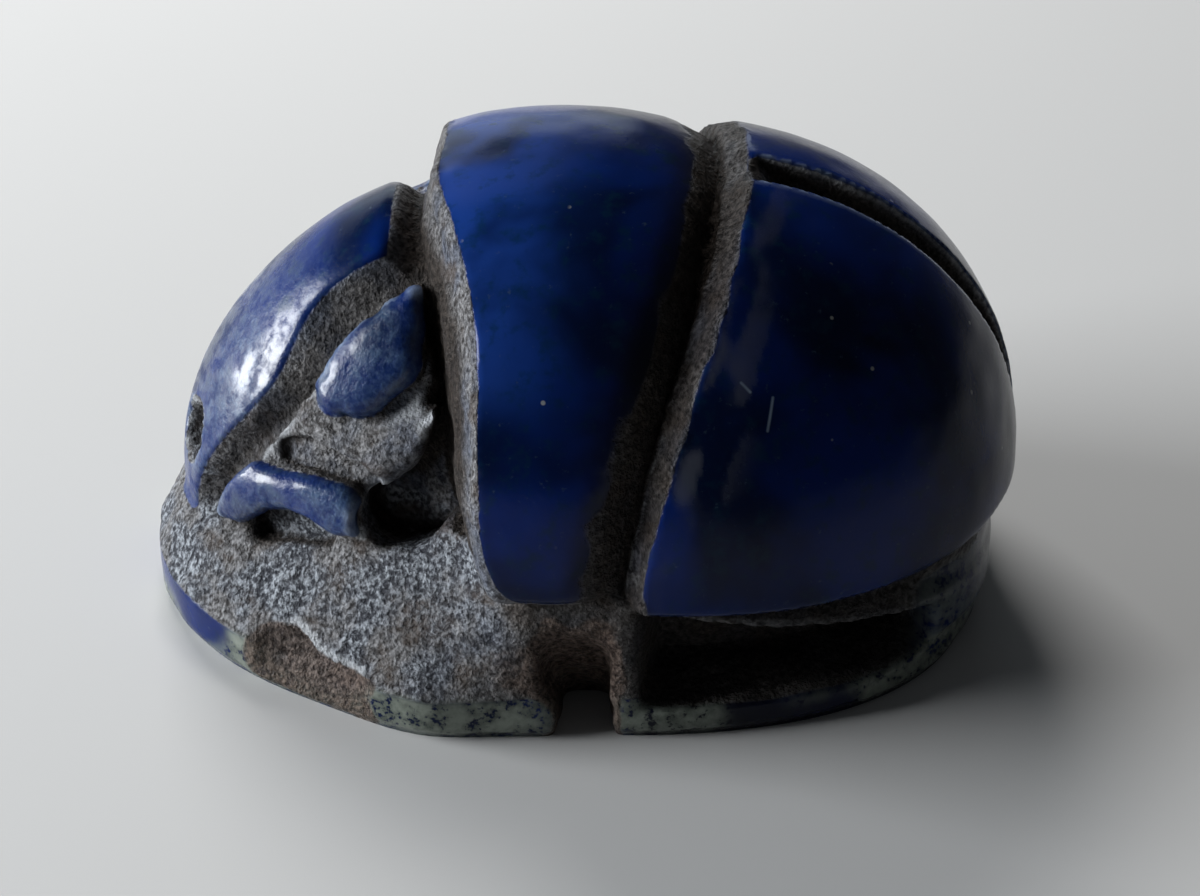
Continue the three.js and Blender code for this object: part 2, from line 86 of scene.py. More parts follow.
CHEEK_HOLLOW = ((-5.85, 3.0, 4.66, 0.12), (-5.3, 3.3, 4.76, 0.28), (-4.75, 3.62, 4.66, 0.3),
                (-4.25, 3.88, 4.55, 0.22))
NECK_RECESS = ((-2.5, 3.95, 5.8, 0.2), (-2.65, 4.2, 5.1, 0.4), (-2.9, 4.35, 4.5, 0.6),
               (-3.3, 4.35, 4.0, 0.66), (-3.7, 4.2, 3.85, 0.55))
CHEEK = ((-7.25, 2.3, 2.75, 0.3), (-6.85, 2.6, 3.22, 0.58), (-6.35, 2.9, 3.75, 0.5),
         (-5.75, 3.3, 3.92, 0.38), (-5.1, 3.7, 4.0, 0.46), (-4.62, 3.95, 3.92, 0.56),
         (-4.3, 4.12, 3.86, 0.44))
CHEEK_ARCH = ((-6.5, 2.95, 2.6, 0.2), (-6.0, 3.3, 2.95, 0.3), (-5.5, 3.65, 3.1, 0.34),
              (-5.1, 3.9, 3.08, 0.26))


def step(start, end, value):
    t = np.clip((value - start) / (end - start), 0, 1)
    return t * t * (3 - 2 * t)


def bell(value, centre, width):
    return np.exp(-(((value - centre) / width) ** 2))


def blend_union(a, b, width):
    t = np.clip(0.5 + 0.5 * (b - a) / width, 0, 1)
    return b * (1 - t) + a * t - width * t * (1 - t)


def blend_cut(a, b, width):
    return -blend_union(-a, b, width)


def oval(offsets, radii, power):
    """Distance, to first order, to a superellipsoid or an oval outline."""
    parts = [np.abs(o) / r for o, r in zip(offsets, radii)]
    level = sum(p ** power for p in parts) ** (1 / power) + 1e-9
    slope = np.sqrt(sum((p ** (power - 1) / r) ** 2 for p, r in zip(parts, radii)))
    return (level - 1) / (slope * level ** (1 - power) + 1e-6)


def dome(x, y, z, shape):
    cx, cy, cz = shape["centre"]
    return oval((x - cx, y - cy, z - cz), shape["radii"], shape["power"])


def line_over(x, y, z, level, stops):
    """Sideways distance, over the surface at that level, to a line of changing width."""
    nearest = np.full(np.shape(x), np.inf)
    for (ax, ay, az, ar), (bx, by, bz, br) in zip(stops, stops[1:]):
        dx, dy, dz = bx - ax, by - ay, bz - az
        t = np.clip(((x - ax) * dx + (y - ay) * dy + (z - az) * dz) / (dx * dx + dy * dy + dz * dz), 0, 1)
        gap = (x - ax - t * dx) ** 2 + (y - ay - t * dy) ** 2 + (z - az - t * dz) ** 2
        nearest = np.minimum(nearest, np.sqrt(np.maximum(gap - level ** 2, 0)) - ar - (br - ar) * t)
    return nearest


NOISE_CELLS = 64
noise_tables = {}


def noise(x, y, z, wave, seed):
    """Smooth seeded noise between -1 and 1, whose bumps are about one wave apart."""
    if seed not in noise_tables:
        noise_tables[seed] = np.random.default_rng(seed).uniform(-1, 1, NOISE_CELLS ** 3)
    table = noise_tables[seed]
    low, part = [], []
    for axis, value in enumerate((x, y, z)):
        q = value / wave + 31.7 + 7.3 * axis
        whole = np.floor(q)
        low.append(whole.astype(np.int64))
        f = q - whole
        part.append(f * f * (3 - 2 * f))
    total = 0
    for corner in range(8):
        index, weight = 0, 1
        for axis in range(3):
            up = corner >> axis & 1
            index = index * NOISE_CELLS + (low[axis] + up) % NOISE_CELLS
            weight = weight * (part[axis] if up else 1 - part[axis])
        total = total + weight * table[index]
    return total


def base_outline(x, y):
    power = np.where(x < BASE["centre_x"], BASE["front_power"], BASE["power"])
    fuller = FULLER_SIDE["amount"] * bell(x, FULLER_SIDE["x"], FULLER_SIDE["spread"])
    return oval((x - BASE["centre_x"], y), (BASE["half_length"], BASE["half_width"]), power) - fuller


def collar_inset(x, z):
    """Above the rim the ground collar leans in, most of all beside the thorax."""
    lean = 0.12 + 0.62 * step(-0.6, -3.0, x) + 0.2 * bell(x, -6.0, 1.6) - 0.2 * step(-7.0, -8.5, x)
    return np.maximum(z - BASE["rim_height"], 0) * lean


def leg_crest(x):
    return HIND_LEG["start_height"] - HIND_LEG["fall"] * (x - HIND_LEG["start_x"])


def leg_inset(x, z):
    """A hind leg's crest falls to the tail over a deep recess, and the tail swells a little."""
    crest, floor = leg_crest(x), HIND_LEG["recess_floor"]
    recess = (HIND_LEG["recess_depth"] * step(floor, floor + 0.35, z) * step(crest + 0.02, crest - 0.35, z)
              * step(1.3, 1.9, x) * step(7.4, 6.0, x))
    band = (0.42 - 0.34 * step(6.0, 8.3, x)) * step(crest, crest + 0.45, z)
    tail_swell = 0.22 * step(6.8, 8.3, x) * step(0.8, 1.1, z)
    return np.maximum(recess, band) + 0.06 - tail_swell


def flank(x, y, z):
    rear = step(0.85, 1.05, x)
    front = np.where(x < 1.1, collar_inset(x, z), 0)
    foot = BASE["foot_rounding"] * step(BASE["foot_height"], 0.0, z)
    side = base_outline(x, y) + front * (1 - rear) + leg_inset(x, z) * rear + foot
    return np.maximum(side, z - SHOULDER_HEIGHT - 0.6)


def waist_x(z):
    """The waist leans towards the tail as it rises."""
    share = np.clip((z - WAIST["foot_z"]) / WAIST["rise"], 0, 1.2)
    return WAIST["foot_x"] + WAIST["lean"] * share ** WAIST["curve"]


def thorax_front_x(y, z):
    """The thorax's front edge sweeps back beside the head, further on the beetle's right."""
    share = np.where(y > 0, THORAX_FRONT["left_share"], 1)
    sweep = THORAX_FRONT["sweep"] * (1 - bell(y, 0, THORAX_FRONT["spread"])) * share
    return THORAX_FRONT["mid_x"] + (sweep - 0.1 * step(0.5, 2.5, y)) + 0.15 * np.clip(5 - z, 0, 3)


def groove_share(y):
    """The waist groove is cut deep on the beetle's right side and only shallow on its left."""
    return 1 - WAIST_GROOVE["left_loss"] * step(-2.5, 2.5, y)


def thorax(x, y, z):
    shell = dome(x, y, z, THORAX)
    from_waist = x - waist_x(z)
    fall = np.clip(1 + from_waist / WAIST_GROOVE["soft_side"], 0, 1)
    rounded = shell + WAIST_GROOVE["depth"] * groove_share(y) * fall ** 2.2
    body = blend_cut(rounded, WAIST_GROOVE["overlap"] - from_waist, 0.05)
    front_wall = (thorax_front_x(y, z) - x) * 0.95 - THORAX_FRONT["undercut"] * np.clip(-shell, 0, 1.2)
    body = blend_cut(body, -front_wall, THORAX_FRONT["edge"])
    return blend_cut(body, z - SHOULDER_HEIGHT, SHOULDER_EDGE["thorax"])


def wing_cases(x, y, z):
    shell = dome(x, y, z, WINGS)
    from_waist = x - waist_x(z)
    bevel = np.clip(1 - from_waist / WAIST_GROOVE["crisp_side"], 0, 1)
    bevelled = shell + WAIST_GROOVE["wing_depth"] * groove_share(y) * bevel
    body = blend_cut(bevelled, from_waist + WAIST_GROOVE["overlap"], 0.03)
    start = WING_SEAM["start_x"]
    fade = step(start, start + 0.6, x) * step(9.2, 7.6, x)
    seam = np.maximum(np.abs(y) - WING_SEAM["half_width"], -shell - WING_SEAM["depth"] * fade)
    body = blend_cut(body, np.maximum(seam, start - x), 0.08)
    return blend_cut(body, z - SHOULDER_HEIGHT, SHOULDER_EDGE["wings"])


def plate_half_width(z):
    spread = np.where(z > PLATE["bulge_height"], PLATE["spread_above"], PLATE["spread_below"])
    return PLATE["half_width"] + PLATE["bulge"] * bell(z, PLATE["bulge_height"], spread)


def head_plate(blank, x, side, z):
    """The long raised plate, which sinks into the thorax at its rear end."""
    rear = PLATE["rear_x"]
    top = blank + PLATE["rear_fall"] * step(rear, rear + PLATE["rear_length"], x) ** 1.5
    wall = (side - plate_half_width(z)) * 0.95 + PLATE["side_lean"] * (blank + 0.3)
    return blend_cut(top, -wall, PLATE["edge"])


def trench(blank, lateral, depth):
    """Stone ground away along a line, down to a depth below the blank."""
    return np.maximum(lateral, -blank - depth)


def leave(form, blank, lateral, sunk, top, foot):
    """Stone left standing along a line, with rounded top and foot, sunk a little below the blank."""
    return blend_union(form, blend_cut(blank + sunk, -lateral, top), foot)


def grind(form, blank, lateral, depth, edge):
    return blend_cut(form, trench(blank, lateral, depth), edge)


def head(x, y, z):
    """Worked out only in front; elsewhere a value that is far outside the head."""
    form = np.full(np.shape(x), 9.0)
    near = x < HEAD_REAR_X + 0.4
    form[near] = head_front(x[near], y[near], z[near])
    return form


def head_front(x, y, z):
    side = np.abs(y)
    blank = dome(x, y, z, HEAD)

    def over(line):
        return line_over(x, side, z, blank, line)

    form = (blank + HEAD_GROUND_DEPTH + 0.15 * step(-5, -2.8, x)
            + 0.5 * step(3.4, 2.5, z) * step(2.2, 2.6, side))
    form = leave(form, blank, over(SADDLE), sunk=0.14, top=0.3, foot=0.4)
    form = grind(form, blank, over(CHEEK_HOLLOW), depth=0.62, edge=0.35)
    form = leave(form, blank, over(EYE), sunk=0.02, top=0.42, foot=0.05)
    form = leave(form, blank, over(CHEEK), sunk=0.0, top=0.35, foot=0.08)
    form = grind(form, blank, over(EYE_RECESS), depth=1.1, edge=0.2)
    form = leave(form, blank, over(CREST), sunk=0.1, top=0.15, foot=0.12)
    form = grind(form, blank, over(GROOVE), depth=0.52, edge=0.12)
    form = np.minimum(form, head_plate(blank, x, side, z))
    return np.maximum(form, x - HEAD_REAR_X)


def under_cheek(x, y, z):
    """The hollows below and behind the cheek, which bite into the collar too."""
    side, blank = np.abs(y), dome(x, y, z, HEAD)
    behind = trench(blank, line_over(x, side, z, blank, NECK_RECESS), 1.5)
    return np.minimum(behind, trench(blank, line_over(x, side, z, blank, CHEEK_ARCH), 0.75))


def notch(x, y, z):
    """An upright cut in the flank, ragged and a little wider above."""
    from_middle = x - SIDE_NOTCH["x"]
    slack = (SIDE_NOTCH["wider_above"] * step(0.4, 1.8, z) * (from_middle < 0)
             + SIDE_NOTCH["ragged"] * noise(x, y, z, 0.7, 18))
    return blend_cut(np.abs(from_middle) - SIDE_NOTCH["half_width"] - slack,
                     np.abs(y) - SIDE_NOTCH["back_y"] - SIDE_NOTCH["slope"] * z, 0.5)


def chip(x, y, z):
    """A piece broken off the rim along a line: flat below, scooped above."""
    (ax, ay), (bx, by) = CHIP["start"], CHIP["end"]
    length = math.hypot(bx - ax, by - ay)
    along = ((x - ax) * (bx - ax) + (y - ay) * (by - ay)) / length
    out = ((x - ax) * (by - ay) - (y - ay) * (bx - ax)) / length
    curve = 1 - ((along - length / 2) / (length / 2)) ** 2
    lean = np.clip(z, 0, 1.3) / 0.9
    rough = noise(x, y, z, 0.8, 19)
    face = -(out + CHIP["depth"] + CHIP["scoop"] * lean * np.maximum(curve, 0)) + 0.06 * rough
    ends = np.maximum(-along - 0.3, along - length + 0.35 * rough)
    return np.maximum(np.maximum(face, ends), z - CHIP["top"] - 0.3 * rough)


def cord_hole(x, y, z):
    """Drilled from head to tail, a little off the middle at the head, where its mouth is chipped."""
    (hx, hy, hz), (tx, ty, tz) = CORD_HOLE["at_head"], CORD_HOLE["at_tail"]
    along = (x - hx) / (tx - hx)
    bore = np.hypot(y - hy - along * (ty - hy), z - hz - along * (tz - hz)) - CORD_HOLE["radius"]
    return blend_union(bore, dome(x, y, z, CHIPPED_MOUTH), 0.1)


def stone(x, y, z):
    domes = np.minimum(thorax(x, y, z), wing_cases(x, y, z))
    front = np.minimum(head(x, y, z), flank(x, y, z))
    near = (x < -1.8) & (np.abs(y) > 2) & (z > 1.8) & (z < 7.5)
    front[near] = blend_cut(front[near], under_cheek(x[near], y[near], z[near]), 0.15)
    form = np.minimum(np.minimum(domes, front), dome(x, y, z, INNER_CORE))
    form = blend_cut(form, notch(x, y, z), 0.2)
    form = blend_cut(form, chip(x, y, z), 0.08)
    return blend_cut(form, cord_hole(x, y, z), 0.08)


# ==== The stone: its skin ====
# The skin is laid over the form on a fine even grid, drawn onto the surface, and given the wear
# that grinding, polish, handling and burial left in it, with painted shade, sheen, glow and edge
# highlights laid into its colour masks; the sawn underside is cut flat.
MM = 0.001
PITCH = 0.098
COARSE = 4  # the form is first tried on a grid this many times coarser
REACH = 0.9  # and then only this near to the surface on the fine grid
LONGEST_MOVE = 0.6 * PITCH
LOW, HIGH = (-9.6, -6.9, -0.5), (9.3, 6.9, 10.6)


def skin_of(form):
    """One point in each cell that the surface crosses, and a quad round each grid edge it crosses."""
    counts = [math.ceil((b - a) / PITCH / COARSE) * COARSE for a, b in zip(LOW, HIGH)]
    lines = [a + PITCH * np.arange(n + 1) for a, n in zip(LOW, counts)]
    coarse = form(*np.meshgrid(*[line[::COARSE] for line in lines], indexing="ij"))
    near = np.zeros([n // COARSE for n in counts], bool)
    for corner in range(8):
        cut = tuple(slice(corner >> a & 1, (corner >> a & 1) + near.shape[a]) for a in range(3))
        near |= np.abs(coarse[cut]) < REACH
    values = coarse[:-1, :-1, :-1]
    for axis in range(3):
        values, near = np.repeat(values, COARSE, axis), np.repeat(near, COARSE, axis)
    where = np.nonzero(near)
    values[where] = form(*[lines[a][where[a]] for a in range(3)])

    shape, inside = values.shape, values < 0
    sums, faces = np.zeros((4, values.size)), []
    for axis in range(3):
        lower, upper = [slice(None)] * 3, [slice(None)] * 3
        lower[axis], upper[axis] = slice(None, -1), slice(1, None)
        lower, upper = tuple(lower), tuple(upper)
        at = np.argwhere(inside[lower] != inside[upper])
        at = at[(at > 0).all(1)]
        a, b = values[lower][tuple(at.T)], values[upper][tuple(at.T)]
        spot = at.astype(float)
        spot[:, axis] += a / (a - b)
        ring = []
        for u, v in ((1, 1), (0, 1), (0, 0), (1, 0)):
            cell = at.copy()
            cell[:, (axis + 1) % 3] -= u
            cell[:, (axis + 2) % 3] -= v
            index = np.ravel_multi_index(tuple(cell.T), shape)
            for n, weight in enumerate((spot[:, 0], spot[:, 1], spot[:, 2], None)):
                sums[n] += np.bincount(index, weight, values.size)
            ring.append(index)
        quads = np.stack(ring, 1)
        quads[a >= 0] = quads[a >= 0][:, ::-1]
        faces.append(quads)
    used = np.nonzero(sums[3])[0]
    number = np.zeros(values.size, np.int64)
    number[used] = np.arange(used.size)
    points = (sums[:3, used] / sums[3, used]).T * PITCH + np.array(LOW)
    return points, number[np.concatenate(faces)]


def slope_of(form, p, h=0.01):
    columns = []
    for axis in range(3):
        a, b = p.copy(), p.copy()
        a[:, axis] -= h
        b[:, axis] += h
        columns.append((form(*b.T) - form(*a.T)) / (2 * h))
    return np.stack(columns, 1)


points, quads = skin_of(stone)
slope = slope_of(stone, points)
for _ in range(2):
    move = slope * (stone(*points.T) / np.maximum((slope ** 2).sum(1), 0.2))[:, None]
    points -= move * np.minimum(1, LONGEST_MOVE / np.maximum(np.linalg.norm(move, axis=1), 1e-9))[:, None]
slope = slope_of(stone, points, 0.03)
outward = slope / np.maximum(np.linalg.norm(slope, axis=1), 1e-6)[:, None]
x, y, z = points.T
side = np.abs(y)

# Where the stone is polished, and where it is only ground.
blank = dome(x, y, z, HEAD)
ragged = noise(x, y, z, 0.6, 7)
thorax_corner = blend_union(x - thorax_front_x(y, z), z - SHOULDER_HEIGHT + 0.1, 1.3)
on_thorax = (step(0.2, 0.05, np.abs(dome(x, y, z, THORAX)))
             * step(0.02, 0.14, thorax_corner + 0.03 * ragged)
             * step(-0.4, -1.15, x - waist_x(z) + 0.3 * ragged) * (z > SHOULDER_HEIGHT))
on_wings = (step(0.1, 0.02, np.abs(dome(x, y, z, WINGS)))
            * step(0.18, 0.4, x - waist_x(z) + 0.12 * ragged)
            * (z > SHOULDER_HEIGHT) * step(0.4, 0.5, side + 9 * step(3.4, 3.2, x)))
on_plate = (step(0.12, 0.03, np.abs(blank)) * step(0.02, -0.08, side - plate_half_width(z))
            * (x < -3) * (z > 1.9))
on_eye = step(0.08, -0.05, line_over(x, side, z, blank, EYE)) * step(0.4, 0.3, np.abs(blank))
on_cheek = step(0.08, -0.05, line_over(x, side, z, blank, CHEEK)) * step(0.35, 0.25, np.abs(blank))
on_rim = (step(0.16, 0.03, base_outline(x, y)) * step(-0.3, -0.05, base_outline(x, y))
          * step(1.12, 0.9, z + 0.12 * noise(x, y, z, 0.9, 3)))
on_tail = step(6.3, 7.3, x) * step(2.9, 2.3, z + 0.2 * noise(x, y, z, 0.7, 5)) * (z > 0.5)
underside = step(0.12, 0.02, z)
in_chip = step(0.2, 0.0, np.abs(chip(x, y, z)) + 0.1 * noise(x, y, z, 0.4, 8))
in_notch = step(0.3, 0.0, np.abs(notch(x, y, z)) + 0.15 * noise(x, y, z, 0.4, 8))
polished = [on_thorax, on_wings, on_plate, on_eye, on_cheek, on_rim, on_tail, underside]
polish = np.clip(np.maximum.reduce(polished), 0, 1)
by_mouth = step(-0.02, 0.1, cord_hole(x, y, z) + 0.12 * noise(x, y, z, 0.3, 9))
polish *= (1 - in_chip) * (1 - in_notch) * by_mouth
ground = 1 - polish

# Wear: sand-ground hollows are grainy, polished faces swell and dip a little, more on the eyes and
# cheeks, and the rim is battered. Each row is a height, a wave and a seed.
GRAIN = ((0.026, 0.22, 11), (0.014, 0.13, 12), (0.06, 0.75, 13))
SWELL = ((0.03, 1.7, 21), (0.011, 0.55, 22))
SMALL_FORM_SWELL = ((0.03, 0.5, 23),)
BATTERING = ((0.05, 0.9, 24),)


def unevenness(rows):
    return sum(height * noise(x, y, z, wave, seed) for height, wave, seed in rows)


grain = unevenness(GRAIN)
swell = unevenness(SWELL) + unevenness(SMALL_FORM_SWELL) * np.maximum(on_cheek, on_eye)
battered = unevenness(BATTERING) * step(1.3, 0.9, z)
relief = (ground * grain + polish * swell + battered) * step(0.0, 0.25, z)
bare = points
points = points + outward * relief[:, None]

# The mesh is set over the middle of the faceted solid's box.
middle = (points.min(0) + points.max(0)) / 2
low_corner, high_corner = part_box("scarab")
shift = np.array([(low_corner.x + high_corner.x) / 2, (low_corner.y + high_corner.y) / 2,
                  low_corner.z]) / MM
shift -= np.array([middle[0], middle[1], 0])
mesh = bpy.data.meshes.new("scarab_stone")
mesh.from_pydata((points + shift) * MM, [], quads)
scarab = bpy.data.objects.new("scarab_stone", mesh)
bpy.context.scene.collection.objects.link(scarab)

# Where the stone itself differs, where soil has stayed together with painted shade in hollows, grooves
# and on the side away from the light, where it is paler with painted sheen and light, where a painted
# glow lies, and where it has been rubbed, with edges lightened as painted highlights.
by_chip = 0.6 * bell(x, -2.2, 2.2) * (y < 0)
calcite = on_rim * step(-0.35, 0.1, noise(x, y, z, 1.6, 31) + by_chip) + 0.5 * on_tail
stain = np.clip(in_chip + in_notch + 0.9 * bell(x, -0.3, 1.3) * bell(z, 1.5, 0.7) * (1 - on_rim), 0, 1)
FEELER_LENGTHS = (0.35, 0.8, 1.5)
# Painted shade with soil: the deeper a point lies in a hollow, the darker its colour is made.
hollow = sum(1 - stone(*(bare + outward * reach).T) / reach for reach in FEELER_LENGTHS) / 3
past_waist = x - waist_x(z)
# Painted shade: the valley behind the head plate, whose slope faces away from the light, is darkened.
shade_in_valley = bell(x, -3.2, 0.45) * step(6.8, 7.6, z) * (side < 2.2)
# Painted shade: the thorax darkens towards the waist groove, polished stone too, where it turns from the
# light.
shade_by_waist = bell(past_waist, -0.5, 0.75) * (z > 3.2) * (past_waist < 0.1)
# Painted shade: the flank below the shoulder darkens from in front of the notch to the tail.
shade_from_notch = 0.75 * step(-1.6, -0.3, x + 0.6 * noise(x, y, z, 1.2, 33)) * (z < 3.3) * (1 - on_rim)
# Painted shade with soil: the deeper part of the thorax's front wall is darkened.
soil_and_shade_on_wall = step(0.3, 0.9, -dome(x, y, z, THORAX)) * (np.abs(x - thorax_front_x(y, z)) < 0.5) * (z > 4)
# Painted shade: the front wall of the wing cases at the waist is darkened.
shade_on_wing_wall = (0.9 * step(-0.3, 0.1, past_waist - 0.3 * ragged) * step(0.9, 0.5, past_waist)
                * (z > SHOULDER_HEIGHT))
in_groove = 0.6 * step(0.05, -0.15, line_over(x, side, z, blank, GROOVE)) * (x < -3)
# Painted shade: everything low on the rear half, away from the light, is darkened, polished stone too.
shade_under_tail = 0.85 * step(0.9, 1.5, x) * (z < 3) * (1 - 0.5 * on_tail)
# Painted shade with soil on ground stone: hollows, walls, grooves, the valley behind the plate and the
# flank behind the notch are darkened.
ground_soil_and_shade = np.maximum.reduce([step(0.4, 0.85, hollow), shade_in_valley, shade_from_notch, soil_and_shade_on_wall, shade_on_wing_wall, in_groove])
# Soil and painted shade together: real soil in hollows and the painted shade marks above.
soil_and_shade = np.maximum.reduce([ground * ground_soil_and_shade, shade_by_waist, shade_under_tail])
# Paler grit with painted light: the collar is made lighter the nearer it lies to the head end and to the
# rim.
collar = (ground * (1 - in_chip) * (z < 3.8)
          * step(-0.4, -3.6, x + 1.2 * noise(x, y, z, 1.3, 34) - 0.5 * (z - 2)))
# The head plate, eyes and cheeks are paler stone with a painted grey-blue sheen.
pale = np.maximum.reduce([on_plate * step(8.4, 6.4, z), 0.7 * on_eye, on_cheek, collar])
# Painted glow: the upper front of the thorax is made royal blue where a soft reflection falls.
royal_glow = on_thorax * step(6.2, 8.2, z + 0.6 * noise(x, y, z, 1.4, 35)) * step(0.9, -1.6, x)
scuff = (step(0.3, 0.5, past_waist) * step(2.0, 0.7, past_waist) * bell(z, 7.0, 2.2) * (y < 1)
         * step(0.0, 0.5, noise(past_waist * 4, y, z, 1.1, 41) + 0.25 * noise(x, y, z, 0.35, 42)))
EDGE_DEPTH = 0.18
# Rubbed edges, partly real wear and partly a painted highlight: convex edges are made paler.
worn_and_highlit = step(0.25, 0.55, 1 + stone(*(bare - outward * EDGE_DEPTH).T) / EDGE_DEPTH)
masks = dict(polish=polish, calcite=calcite, stain=stain, soil_and_shade=soil_and_shade, worn_and_highlit=worn_and_highlit, scuff=scuff,
             pale=pale, royal_glow=royal_glow)
for name, values in masks.items():
    layer = mesh.attributes.new(name, "FLOAT", "POINT")
    layer.data.foreach_set("value", np.clip(values, 0, 1).astype(np.float32))
mesh.update()

# The sawn underside.
HAIR = 0.0000001
scarab.select_set(True)
bpy.context.view_layer.objects.active = scarab
bpy.ops.object.mode_set(mode="EDIT")
bpy.ops.mesh.select_all(action="SELECT")
bpy.ops.mesh.bisect(plane_co=(0, 0, low_corner.z), plane_no=(0, 0, 1), clear_inner=True, use_fill=True,
                    threshold=HAIR)
bpy.ops.object.mode_set(mode="OBJECT")
bpy.ops.object.shade_smooth_by_angle(angle=math.radians(65))

# ==== The stone: its finish ====
# Lapis is deep blue with lighter veils, pale calcite grains and a little pyrite. Polished faces
# are glassy; ground faces are pale and grainy, with brown soil held in the hollows, darkened further
# by painted shade.


class Wire:
    """A shader value that can be written into Python sums; .node() adds any other node."""

    def __init__(self, tree, socket=None):
        self.tree, self.socket = tree, socket

    def node(self, kind, settings=None, inputs=None, output=0):
        made = self.tree.nodes.new(kind)
        for name, value in (settings or {}).items():
            setattr(made, name, value)
        for name, value in (inputs or {}).items():
            if isinstance(value, Wire):
                self.tree.links.new(value.socket, made.inputs[name])
            else:
                made.inputs[name].default_value = value
        return Wire(self.tree, made.outputs[output])

    def sum(self, operation, a, b=0.0, clamp=False):
        return self.node("ShaderNodeMath", {"operation": operation, "use_clamp": clamp}, {0: a, 1: b})

    def __add__(self, other): return self.sum("ADD", self, other)
    def __radd__(self, other): return self.sum("ADD", other, self)
    def __sub__(self, other): return self.sum("SUBTRACT", self, other)
    def __rsub__(self, other): return self.sum("SUBTRACT", other, self)
    def __mul__(self, other): return self.sum("MULTIPLY", self, other)
    def __rmul__(self, other): return self.sum("MULTIPLY", other, self)
    def __truediv__(self, other): return self.sum("DIVIDE", self, other)

    def clamp(self): return self.sum("ADD", self, 0.0, True)

    def ramp(self, start, end):
        return self.node("ShaderNodeMapRange", {"interpolation_type": "SMOOTHSTEP"},
                         {"Value": self, "From Min": start, "From Max": end})

    def mix(self, a, b):
        """Colour a where this value is 0 and colour b where it is 1."""
        a, b = ((*c, 1) if isinstance(c, tuple) else c for c in (a, b))
        return self.node("ShaderNodeMix", {"data_type": "RGBA"}, {0: self, 6: a, 7: b}, 2)


def new_material(name):
    material = bpy.data.materials.new(name)
    material.use_nodes = True
    tree = material.node_tree
    tree.nodes.clear()
    output = tree.nodes.new("ShaderNodeOutputMaterial")
    shader = tree.nodes.new("ShaderNodeBsdfPrincipled")
    tree.links.new(shader.outputs[0], output.inputs[0])
    return material, Wire(tree), shader


lapis, wire, shader = new_material("lapis lazuli")
place = wire.node("ShaderNodeVectorMath", {"operation": "SCALE"},
                  {0: wire.node("ShaderNodeTexCoord", output=3), "Scale": 1 / MM})


def noise_node(scale, detail, rough=0.5, distortion=0.0):
    return wire.node("ShaderNodeTexNoise", {}, {"Vector": place, "Scale": scale, "Detail": detail,
                                                "Roughness": rough, "Distortion": distortion})


def mask_node(name):
    return wire.node("ShaderNodeAttribute", {"attribute_name": name}, output=2)


def grain_node(scale):
    """Distance from the middle of the nearest grain."""
    return wire.node("ShaderNodeTexVoronoi", {"feature": "F1"}, {"Vector": place, "Scale": scale})


def vector_maths(operation, a, b, output=0):
    return wire.node("ShaderNodeVectorMath", {"operation": operation}, {0: a, 1: b}, output)


SCRATCH_HALF_WIDTH = 0.045


def scratch(start, end):
    """1 along a fine straight scratch between two points of the form, fading to 0 beside it."""
    first = shift + np.array(start)
    along = np.array(end) - np.array(start)
    offset = vector_maths("SUBTRACT", place, tuple(first))
    share = (vector_maths("DOT_PRODUCT", offset, tuple(along), 1) / float(along @ along)).clamp()
    nearest = wire.node("ShaderNodeVectorMath", {"operation": "SCALE"}, {0: tuple(along), "Scale": share})
    gap = vector_maths("LENGTH", vector_maths("SUBTRACT", offset, nearest), (0, 0, 0), 1)
    return gap.ramp(SCRATCH_HALF_WIDTH, 0.0)


veil = noise_node(0.3, 3, 0.5, 0.3)
mottle = noise_node(2.6, 4, 0.6)
fine = noise_node(9.0, 3, 0.6)
patches = noise_node(0.8, 4, 0.55)
rubble = noise_node(4.5, 5, 0.72)
grains = grain_node(6.5)
small_grains = grain_node(14.0)
glints = grain_node(8.0).ramp(0.24, 0.08)
polish_mask = (mask_node("polish") + 0.45 * (fine - 0.5)).ramp(0.3, 0.7)
# Soil and painted shade: one mask darkens both polished and ground stone.
soil_and_shade = mask_node("soil_and_shade")

# Polished stone: deep blue with a painted royal-blue glow on the upper front of the thorax, teal
# clouds, grey veins, a few pyrite specks and two scratches on the right wing case; the head is paler
# with a painted grey-blue sheen, and painted shade with soil turns hollows and the shaded side black.
NIGHT_BLUE, DEEP_BLUE, ROYAL_GLOW_BLUE = (0.0004, 0.0042, 0.024), (0.0011, 0.012, 0.095), (0.008, 0.035, 0.19)
DARK_TEAL, GREY_VEIN, PYRITE = (0.0015, 0.016, 0.034), (0.05, 0.075, 0.10), (0.30, 0.31, 0.30)
DULL_BLUE, PALE_BLUE, SHADE_AND_SOIL_BLACK = (0.005, 0.018, 0.075), (0.06, 0.105, 0.19), (0.006, 0.006, 0.008)
SCRATCHED, SCUFFED = (0.25, 0.32, 0.42), (0.06, 0.065, 0.085)
SCRATCHES = (((3.24, -4.59, 7.67), (3.41, -4.68, 7.53), 0.8),
             ((3.84, -4.67, 7.41), (3.76, -5.04, 6.91), 0.6))
blue = veil.ramp(0.38, 0.62).mix(NIGHT_BLUE, DEEP_BLUE)
# Painted glow: royal blue on the upper front of the thorax, broken by the stone's veils.
blue = (mask_node("royal_glow") * veil.ramp(0.3, 0.5) * 0.8).mix(blue, ROYAL_GLOW_BLUE)
blue = (mottle.ramp(0.5, 0.72) * 0.55).mix(blue, DARK_TEAL)
blue = (noise_node(5.5, 4, 0.7).ramp(0.62, 0.76) * 0.4).mix(blue, GREY_VEIN)
flecks = grain_node(1.3).ramp(0.075, 0.04) * noise_node(1.0, 1).ramp(0.5, 0.6)
blue = (flecks * 0.8).mix(blue, PYRITE)
for start, end, strength in SCRATCHES:
    blue = (scratch(start, end) * strength).mix(blue, SCRATCHED)
